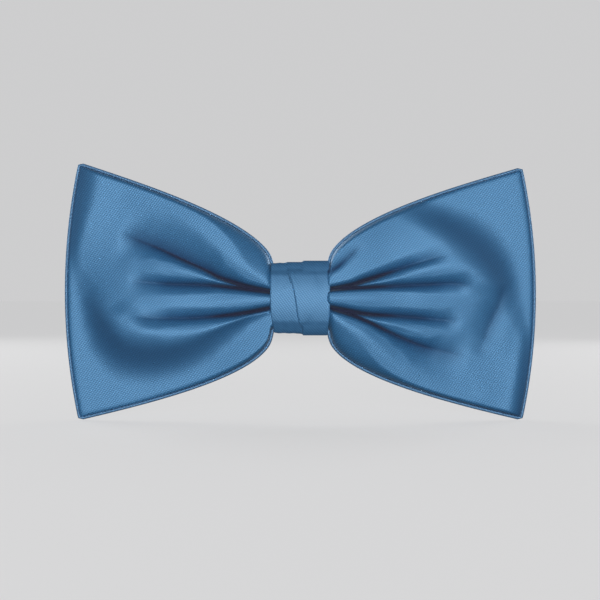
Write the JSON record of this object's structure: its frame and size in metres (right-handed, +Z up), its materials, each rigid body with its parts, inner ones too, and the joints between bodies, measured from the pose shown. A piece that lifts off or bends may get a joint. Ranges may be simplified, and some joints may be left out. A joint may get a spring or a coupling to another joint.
{
  "type": "pre-made gift bow",
  "caption": "Flat two-loop satin gift bow in blue, pinched by a wrapped knot band, with a hinged spring clip behind the knot.",
  "frame": {"origin": "centre of the clip's flat rear face, behind the middle of the knot", "axes": "+X along the bow to the viewer's right, +Y out of the clip's flat rear face, away from the viewer, +Z up the bow's height"},
  "size_m": [0.12, 0.0213, 0.065],
  "materials": {
    "satin": "satin",
    "satin_edge": "satin",
    "satin_knot": "satin",
    "interlining": "matt",
    "band_lining": "matt",
    "wadding": "matt",
    "thread": "satin",
    "adhesive": "semi-gloss",
    "clip_steel": "bright nickel plate",
    "pin_steel": "plain",
    "spring_steel": "drawn wire"
  },
  "bodies": {
    "bow": {"front_panel": "satin", "back_panel": "satin", "rolled_edge_left": "satin_edge", "rolled_edge_right": "satin_edge", "knot_band": "satin_knot", "interlining": "interlining", "band_lining": "band_lining", "knot_wadding": "wadding", "waist_binding": "thread", "band_stitches": "thread", "clip_adhesive": "adhesive", "clip_base": "clip_steel", "clip_pin": "pin_steel", "clip_spring": "spring_steel"},
    "clip_lever": {"clip_lever": "clip_steel"}
  },
  "joints": [
    {"name": "clip_open", "type": "hinge", "parent": "bow", "child": "clip_lever", "pos_m": [0.01, -0.00025, 0], "axis": [0, 0, -1], "range_deg": [0, 25], "stiffness_Nm_per_rad": 0.04, "springref_deg": -85.94, "deforming": ["clip_spring"]}
  ]
}
